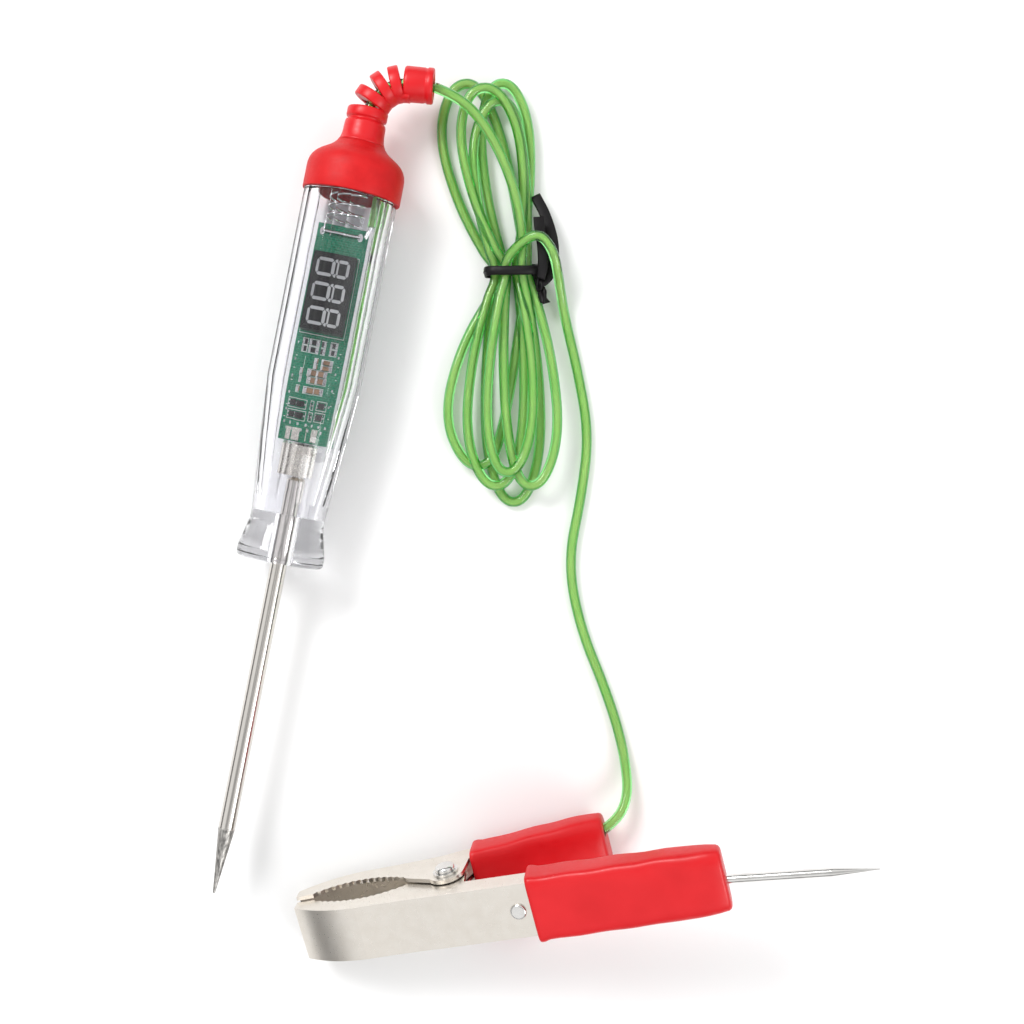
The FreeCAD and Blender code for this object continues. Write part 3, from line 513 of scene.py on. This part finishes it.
# ---- Cap and strain relief ---------------------------------------------------------------------------
# The cap is a matt red moulding pushed over the barrel's spigot.  The relief is softer red vinyl: a neck
# and a fan of slit rings, joined along the inside of its bend, that holds the cord at its mouth.
def lathe(name, profile, place, material, sides=72):
    """A ring-shaped piece turned about local Z; profile is (radius, height) in millimetres."""
    verts, faces = [], []
    for radius, height in profile:
        for side in range(sides):
            angle = math.tau * side / sides
            verts.append(place @ (Vector((radius * math.cos(angle), radius * math.sin(angle), height)) * MM))
    rows = len(profile)
    for row in range(rows):
        for side in range(sides):
            a, b = row * sides + side, row * sides + (side + 1) % sides
            other = (row + 1) % rows
            faces.append((a, b, other * sides + (side + 1) % sides, other * sides + side))
    return solid_mesh(name, verts, faces, material, smooth=True)


def joined(name, pieces, material):
    """Several meshes of one material as one object."""
    work = bmesh.new()
    for piece in pieces:
        work.from_mesh(piece.data)
        bpy.data.objects.remove(piece)
    mesh = bpy.data.meshes.new(name)
    work.to_mesh(mesh)
    work.free()
    mesh.materials.append(material)
    whole = bpy.data.objects.new(name, mesh)
    bpy.context.scene.collection.objects.link(whole)
    return whole


red_hard = finish("red_plastic", (0.56, 0.004, 0.006), (0.64, 0.007, 0.009), (0.45, 0.58), grain=2600,
                  depth=0.00003, shine=0.3)
red_soft = finish("red_vinyl", (0.62, 0.006, 0.010), (0.68, 0.010, 0.015), (0.30, 0.42), grain=900,
                  depth=0.00003, shine=0.38)
CAP = [(10.8, 177.25), (12.05, 177.25), (12.22, 177.32), (12.3, 177.5), (12.3, 180.0), (12.3, 182.6),
       (12.26, 183.6), (12.05, 184.7), (11.6, 185.7), (10.9, 186.6), (9.9, 187.45), (8.8, 188.15),
       (7.7, 188.85), (6.8, 189.6), (6.2, 190.3), (5.9, 190.75), (3.7, 190.75), (3.7, 188.65), (7.0, 188.6),
       (7.0, 186.65), (10.8, 186.6)]
cap = lathe("cap", CAP, HANDLE, red_hard, sides=96)
put(cap, "root", "red_plastic", "end_cap")

RELIEF_BORE = 1.7
RELIEF_BEND = 9.5
BEND_FOOT = 198.3
NECK = [(1.7, 190.6), (6.0, 190.7), (5.7, 191.2), (5.42, 192.0), (5.25, 193.2), (5.15, 195.6), (5.0, 196.1),
        (4.55, 196.25), (4.45, 196.6), (4.55, 196.95), (5.0, 197.05), (5.12, 197.4), (5.12, 199.1),
        (4.95, 199.4), (1.7, 199.4)]
pieces = [lathe("neck", NECK, HANDLE, red_soft)]


def round_bend(turned_by):
    """The place on the relief's bend that many degrees round it."""
    angle = math.radians(turned_by)
    spot = Vector((RELIEF_BEND - RELIEF_BEND * math.cos(angle), 0,
                   BEND_FOOT + RELIEF_BEND * math.sin(angle)))
    return HANDLE @ Matrix.Translation(spot * MM) @ Matrix.Rotation(angle, 4, "Y")


def ring_profile(radius, low, high, rim=0.35):
    """A ring's outline, with rounded rims, from one height to another."""
    return [(RELIEF_BORE, low), (radius - rim, low), (radius - rim / 3, low + rim / 4), (radius, low + rim),
            (radius, high - rim), (radius - rim / 3, high - rim / 4), (radius - rim, high),
            (RELIEF_BORE, high)]


HALF_FIN = 1.35
for turned_by, radius in ((24, 4.9), (46, 4.8), (66, 4.7)):
    pieces.append(lathe("fin", ring_profile(radius, -HALF_FIN, HALF_FIN), round_bend(turned_by), red_soft))
MOUTH = [(1.75, -0.9), (4.1, -0.9), (4.4, -0.6), (4.45, 0.0), (4.4, 4.1), (4.25, 4.4), (4.3, 4.8), (4.5, 5.0),
         (4.5, 6.0), (4.3, 6.4), (3.2, 6.45), (2.2, 6.0), (1.75, 5.0)]
pieces.append(lathe("mouth", MOUTH, round_bend(84), red_soft))
# the web that joins the rings along the inside of the bend
WEB_STEPS = 16
WEB_SIDES = 16
WEB_START, WEB_SWEEP = -4, 96
WEB_CENTRE = 3.35
WEB_HALF_THICK, WEB_HALF_WIDE = 1.25, 2.9
verts, faces = [], []
for step in range(WEB_STEPS + 1):
    place = round_bend(WEB_START + WEB_SWEEP * step / WEB_STEPS)
    for side in range(WEB_SIDES):
        angle = math.tau * side / WEB_SIDES
        spot = (WEB_CENTRE + WEB_HALF_THICK * math.cos(angle), WEB_HALF_WIDE * math.sin(angle), 0)
        verts.append(place @ (Vector(spot) * MM))
for step in range(WEB_STEPS):
    for side in range(WEB_SIDES):
        a, b = step * WEB_SIDES + side, step * WEB_SIDES + (side + 1) % WEB_SIDES
        faces.append((a, b, b + WEB_SIDES, a + WEB_SIDES))
faces.append(tuple(range(WEB_SIDES))[::-1])
faces.append(tuple(WEB_STEPS * WEB_SIDES + side for side in range(WEB_SIDES)))
pieces.append(solid_mesh("web", verts, faces, red_soft, smooth=True))
relief = joined("relief", pieces, red_soft)
put(relief, "root", "red_soft", "strain_relief")
# the strands inside the handle, from the relief's mouth to the board
INSIDE = [(16.1, 0, 208.2), (5.56, 0, 207.7), (0, 0, 202.2), (0, 0, 188.5), (7.3, -1.45, 180.5),
          (7.3, -1.45, 170.6)]
inner_strands = smooth_curve("inner_strands", [HANDLE @ (Vector(point) * MM) / MM for point in INSIDE],
                             CORE_RADIUS, core)
put(inner_strands, "root", "cord_green")

# ---- Ferrule, tabs and spring ------------------------------------------------------------------------
# The nickelled ferrule takes the needle's stem, and two stamped tabs join it to the board.  A steel wire
# coil in the cap presses the board down, and its tail is soldered between two pads.
nickel = steel("nickel_plate", (0.70, 0.66, 0.60), (0.82, 0.79, 0.73), (0.22, 0.32), grain=1800)
dress(nickel, "needle_ferrule", "contact_tabs", "cord_crimp")
spring_steel = steel("spring_steel", (0.60, 0.60, 0.60), (0.80, 0.80, 0.80), (0.15, 0.25))
dress(spring_steel, "contact_spring", "spring_link")
solder = steel("solder", (0.50, 0.50, 0.51), (0.75, 0.75, 0.76), (0.2, 0.45), depth=0.00005)
dress(solder, "solder_pads", "bare_wire_end")

# ---- Circuit board -----------------------------------------------------------------------------------
# Glass-fibre board under green solder mask, with copper tracks that show through as paler lines.  White
# printed outlines frame the parts, and each part sits on tinned pads.
def board_material():
    """Solder mask over a grid of tracks, which show as thin paler lines."""
    material, tree, base, coords = shader("board_mask")
    bricks = tree.nodes.new("ShaderNodeTexBrick")
    bricks.inputs["Scale"].default_value = 420
    bricks.inputs["Mortar Size"].default_value = 0.04
    bricks.inputs["Color1"].default_value = (0.0, 0.135, 0.062, 1)
    bricks.inputs["Color2"].default_value = (0.0, 0.175, 0.085, 1)
    bricks.inputs["Mortar"].default_value = (0.004, 0.27, 0.14, 1)
    tree.links.new(coords, bricks.inputs["Vector"])
    tree.links.new(bricks.outputs["Color"], base.inputs["Base Color"])
    tree.links.new(spread(tree, noise(tree, coords, 1500), 0.2, 0.35), base.inputs["Roughness"])
    bump(tree, base, bricks.outputs["Fac"], 0.00003)
    return material


dress(board_material(), "circuit_board")
silkscreen = finish("white_print", (0.70, 0.72, 0.70), (0.85, 0.86, 0.85), (0.5, 0.7), grain=3000,
                    depth=0.00001)
# where each kind of part stands on the board: across it, and along the handle from the needle's tip
RESISTORS = [(-1.9, 139.8), (-1.9, 138.0), (2.5, 139.9), (2.5, 138.1)]
CAPACITORS = [(-0.2, 132.3), (0.0, 130.5), (-0.5, 127.9)]
TRANSISTORS = [(-2.7, 124.3), (2.2, 124.5), (-2.4, 121.4), (2.2, 121.6)]
DIODES = [(1.1, 135.4), (1.1, 133.9)]
DISPLAY_CENTRE = 152.1
PRINT_DEPTH = (-0.04, 0.02)
PRINT_LINE = 0.16


def blocks(name, boxes, material, round_off=0.06):
    """Small rectangular pieces in one object; each box is its low and high corner in the handle's frame."""
    verts, faces = [], []
    for low, high in boxes:
        first = len(verts)
        for x in (low[0], high[0]):
            for y in (low[1], high[1]):
                for z in (low[2], high[2]):
                    verts.append(HANDLE @ (Vector((x, y, z)) * MM))
        for face in ((0, 1, 3, 2), (4, 6, 7, 5), (0, 4, 5, 1), (2, 3, 7, 6), (0, 2, 6, 4), (1, 5, 7, 3)):
            faces.append(tuple(first + corner for corner in face))
    piece = solid_mesh(name, verts, faces, material)
    if round_off:
        rounding = piece.modifiers.new("edges", "BEVEL")
        rounding.width = round_off * MM
        rounding.segments = 2
    return piece


def around(centre, wide, long, low, high):
    """The two corners of a box about a point of the board, from one depth to another."""
    x, z = centre
    return ((x - wide / 2, low, z - long / 2), (x + wide / 2, high, z + long / 2))


def outline(centre, wide, long):
    """Four printed lines round a part."""
    x, z = centre
    for side in (-1, 1):
        yield around((x + side * wide / 2, z), PRINT_LINE, long + PRINT_LINE, *PRINT_DEPTH)
        yield around((x, z + side * long / 2), wide + PRINT_LINE, PRINT_LINE, *PRINT_DEPTH)


printed = []
for places, wide, long in ((RESISTORS, 2.7, 1.6), (CAPACITORS, 4.1, 1.75), (TRANSISTORS, 3.7, 2.3),
                           (DIODES, 4.3, 1.4), ([(0.0, DISPLAY_CENTRE)], 10.9, 20.5)):
    for centre in places:
        printed += outline(centre, wide, long)
# short ticks along both edges
for step in range(6):
    printed.append(around((-5.2 + 0.1 * step, 120.5 + 3.1 * step), 0.7, 0.18, *PRINT_DEPTH))
    printed.append(around((5.6 - 0.05 * step, 121.7 + 3.3 * step), 0.6, 0.18, *PRINT_DEPTH))
print_piece = blocks("silkscreen", printed, silkscreen, 0)
put(print_piece, "root", "board_green")

tinned = steel("tinned_pad", (0.45, 0.45, 0.46), (0.70, 0.70, 0.71), (0.2, 0.4), depth=0.00004)
# each small part's plated ends and the pads under them, then the transistors' legs and the loose pads
ends = []
for places, wide, long, tall, end in ((RESISTORS, 2.0, 1.2, 0.55, 0.42), (CAPACITORS, 3.2, 1.3, 0.9, 0.6),
                                      (DIODES, 3.4, 1.0, 1.0, 0.5)):
    for x, z in places:
        for side in (-1, 1):
            ends.append(around((x + side * (wide - end) / 2, z), end, long, -tall, 0))
            ends.append(around((x + side * (wide / 2 + 0.1), z), 0.6, long + 0.2, -0.14, 0))
for x, z in TRANSISTORS:
    for across, along in ((-1, -0.5), (-1, 0.5), (1, 0)):
        ends.append(around((x + across * 1.55, z + along), 0.75, 0.42, -0.3, 0))
for number in range(9):
    ends.append(around((-4.9 + 1.25 * number, 117.9 if number % 2 else 119.3), 0.7, 0.7, -0.1, 0))
    ends.append(around((4.9 if number % 2 else -5.0, 122.5 + 2.1 * number), 0.6, 0.6, -0.1, 0))
ends_piece = blocks("chip_ends", ends, tinned)
put(ends_piece, "root", "chip_ends")


def chip_bodies(name, places, wide, long, tall, material, node, slot):
    """The moulded bodies of one kind of part, in place of its CAD node."""
    piece = blocks(name, [around(centre, wide, long, -tall, -0.03) for centre in places], material)
    put(piece, "root", slot, node)


ceramic = finish("capacitor_body", (0.20, 0.10, 0.045), (0.30, 0.17, 0.08), (0.35, 0.5), grain=2500)
chip_black = finish("chip_body", (0.010, 0.010, 0.011), (0.025, 0.025, 0.027), (0.3, 0.5), grain=3000)
chip_bodies("resistor_bodies", RESISTORS, 1.2, 1.16, 0.52, chip_black, "chip_resistors", "chip_ends")
chip_bodies("capacitor_bodies", CAPACITORS, 2.05, 1.26, 0.86, ceramic, "chip_capacitors", "capacitor_tan")
chip_bodies("diode_bodies", DIODES, 2.4, 0.96, 0.94, ceramic, "chip_diodes", "chip_black")
chip_bodies("transistor_bodies", TRANSISTORS, 2.3, 1.5, 1.05, chip_black, "chip_transistors", "chip_black")

# ---- Display -----------------------------------------------------------------------------------------
# A three-figure LED block: dark grey potting in a black-faced case.  Its unlit strokes are pale grey
# diffusers, moulded flush in the face and shaped as long hexagons.
dress(finish("display_case", (0.003, 0.003, 0.004), (0.012, 0.012, 0.013), (0.3, 0.45), grain=1600,
             depth=0.000005, shine=0.2), "display_body")
diffuser = finish("diffuser", (0.34, 0.35, 0.35), (0.50, 0.51, 0.51), (0.25, 0.4), grain=1200, depth=0.00002)
FACE = -6.2
STROKE = 0.80
STROKE_GAP = 0.25
TALL, WIDE = 6.4, 3.7
FIGURE_PITCH = 6.1
verts, faces = [], []


def stroke(x, z, across, length):
    """A hexagonal stroke, added to verts and faces; across says that it runs over the barrel."""
    half, tip = STROKE / 2, length / 2
    corners = [(-tip, 0), (-tip + half, half), (tip - half, half), (tip, 0), (tip - half, -half),
               (-tip + half, -half)]
    count = len(corners)
    first = len(verts)
    for level in (FACE + 0.1, FACE - 0.05):
        for along, side in corners:
            spot = (x + along, level, z + side) if across else (x + side, level, z + along)
            verts.append(HANDLE @ (Vector(spot) * MM))
    raised = first + count
    faces.append(tuple(raised + corner for corner in range(count)))
    for corner in range(count):
        beside = (corner + 1) % count
        faces.append((first + corner, first + beside, raised + beside, raised + corner))


for figure in (-1, 0, 1):
    centre = DISPLAY_CENTRE + FIGURE_PITCH * figure
    for x in (-TALL / 2, 0, TALL / 2):
        stroke(x, centre, False, WIDE - STROKE_GAP)
    for x in (-TALL / 4, TALL / 4):
        for z in (centre - WIDE / 2, centre + WIDE / 2):
            stroke(x, z, True, TALL / 2 - STROKE_GAP)
digits = solid_mesh("digits", verts, faces, diffuser)
put(digits, "root", "segment_grey", "display_digits")

# ---- Clip --------------------------------------------------------------------------------------------
# Two jaws stamped from sheet steel and nickel plated, with toothed lips, on a riveted pin with a washer
# under each head.  A steel spring wound on the pin closes them.
CLIP_PLACE = Vector((23.7, -100.6, 7.355))
CLIP_TURN, CLIP_PITCH, CLIP_ROLL = 23.3, -10.2, 12
CLIP = (Matrix.Translation(CLIP_PLACE * MM)
        @ Matrix.Rotation(math.radians(CLIP_TURN), 4, "Z")
        @ Matrix.Rotation(math.radians(CLIP_PITCH), 4, "Y")
        @ Matrix.Rotation(math.radians(CLIP_ROLL), 4, "X"))
jaw_nickel = steel("jaw_nickel", (0.80, 0.75, 0.68), (0.85, 0.805, 0.74), (0.27, 0.31), grain=2400,
                   depth=0.0000004)
dress(jaw_nickel, "clip_front_jaw", "clip_rear_jaw")
pin_steel = steel("pin_steel", (0.68, 0.67, 0.65), (0.82, 0.81, 0.79), (0.12, 0.24))
dress(pin_steel, "pivot_pin", "pivot_washers", "clip_spike", "spike_rivet")
WIRE = 0.55 * MM
PIVOT_X = 39.5
COIL_RADIUS = 3.0
COIL_HALF = 3.3
COIL_TURNS = 5
COIL_STEPS = 12
# the winding's steering points stand a little outside the wire's own circle
COIL_STEER = 1.03 * COIL_RADIUS


def clip_wire(name, points):
    """A length of spring wire, its points in the clip's own frame."""
    return smooth_curve(name, [CLIP @ (Vector(point) * MM) / MM for point in points], WIRE, spring_steel)


winding = [(PIVOT_X + 6.2, COIL_HALF, -9.95), (PIVOT_X + 4.6, COIL_HALF, -5.2),
           (PIVOT_X + 3.3, COIL_HALF, -1.6)]
for step in range(COIL_TURNS * COIL_STEPS + 1):
    angle = math.tau * step / COIL_STEPS
    along = COIL_HALF - 2 * COIL_HALF * step / (COIL_TURNS * COIL_STEPS)
    winding.append((PIVOT_X + COIL_STEER * math.cos(angle), along, COIL_STEER * math.sin(angle)))
coil = clip_wire("spring_coil", winding)
put(coil, "root", "spring_steel", "torsion_spring")
# the front leg is a piece of its own, because it moves with the front jaw
leg = clip_wire("spring_leg", [(PIVOT_X + COIL_RADIUS, -COIL_HALF, -0.6), (PIVOT_X + 3.3, -COIL_HALF, 1.6),
                               (PIVOT_X + 4.6, -COIL_HALF, 5.0), (PIVOT_X + 6.3, -COIL_HALF, 8.4)])
put(leg, "front_jaw", "spring_steel")

# ---- Grips -------------------------------------------------------------------------------------------
# Soft red vinyl dipped sleeves pulled over the handles, open at the front and closed at the far end.
# The vinyl is stretched tight, so it shows the metal's edges and slumps where the metal stops.
GRIP_WALL = 1.25
GRIP_SIDES = 64
GRIP_STEPS = 18
HALF_CHANNEL = 2.8
SPREAD_START, SPREAD_DEPTH = 36.6, 9.6
# how square the sleeve is at its mouth, and how much of that is lost by its closed end
SQUARENESS, SQUARENESS_LOST = 7.0, 3.4


def spread_slope(metal_end, end_depth):
    """How fast a handle leaves the clip's middle plane."""
    return (end_depth - SPREAD_DEPTH) / (metal_end - SPREAD_START)


def sleeve(name, side, half_width, start, end, metal_end, slope, flat):
    """A vinyl sleeve over a channel-shaped handle, in the clip's frame."""
    # each ring's place along the handle, and how far it swells or shrinks: inner wall, rolled mouth, end
    body_start, body_end = start + 2.6, end - 0.9
    stations = [(start + 7, -GRIP_WALL), (start + 0.6, -GRIP_WALL), (start + 0.1, -GRIP_WALL * 0.8),
                (start - 0.15, -GRIP_WALL * 0.4), (start, 0.05), (start + 0.35, 0.28), (start + 1.2, 0.3),
                (body_start, 0.02)]
    for step in range(1, GRIP_STEPS):
        stations.append((body_start + (body_end - body_start) * step / GRIP_STEPS, 0.0))
    stations += [(body_end, -0.06), (end - 0.35, -0.3), (end - 0.05, -0.8), (end, -1.7)]
    mouth_depth = SPREAD_DEPTH + slope * (start - SPREAD_START)
    verts, faces = [], []
    for reach, grow in stations:
        past = max(0.0, reach - (metal_end - 3)) / (end - metal_end + 3)
        share = max(0.0, reach - start) / (end - start)
        wide = half_width + 1.4 + grow - 0.5 * past
        tall = HALF_CHANNEL + 1.45 + grow - flat * past
        power = 2 / (SQUARENESS - SQUARENESS_LOST * share)
        middle = mouth_depth + slope * (reach - start) - HALF_CHANNEL
        for number in range(GRIP_SIDES):
            angle = math.tau * number / GRIP_SIDES
            cosine, sine = math.cos(angle), math.sin(angle)
            y = wide * math.copysign(abs(cosine) ** power, cosine)
            z = tall * math.copysign(abs(sine) ** power, sine)
            if grow > -0.5:
                # a slump where the metal stops, and slow waves over the rest
                fold = math.exp(-((reach - metal_end + 7 + 0.7 * y) / 3.2) ** 2)
                fold *= math.exp(-((y - 4) / 5) ** 2)
                z += (-0.75 * fold if z > 0 else 0.3 * fold)
                y += 0.10 * math.sin(reach * 0.55) * (1 if y > 0 else -0.6)
                z += 0.09 * math.sin(reach * 0.41 + y * 0.25)
            verts.append(CLIP @ (Vector((reach, y, side * (middle + z))) * MM))
    rows = len(stations)
    for row in range(rows - 1):
        for number in range(GRIP_SIDES):
            a, b = row * GRIP_SIDES + number, row * GRIP_SIDES + (number + 1) % GRIP_SIDES
            faces.append((a, b, b + GRIP_SIDES, a + GRIP_SIDES))
    last = (rows - 1) * GRIP_SIDES
    centre = len(verts)
    verts.append(sum(verts[last:], Vector()) / GRIP_SIDES)
    for number in range(GRIP_SIDES):
        faces.append((last + number, last + (number + 1) % GRIP_SIDES, centre))
    return solid_mesh(name, verts, faces, red_soft, smooth=True)


front = sleeve("front_sleeve", 1, 7.0, 61.0, 108.0, 104.0, spread_slope(104.0, 13.5), 0.9)
put(front, "front_jaw", "red_soft", "front_grip")
rear = sleeve("rear_sleeve", -1, 8.3, 45.0, 78.0, 72.0, spread_slope(72.0, 17.5), 0.3)
put(rear, "root", "red_soft", "rear_grip")
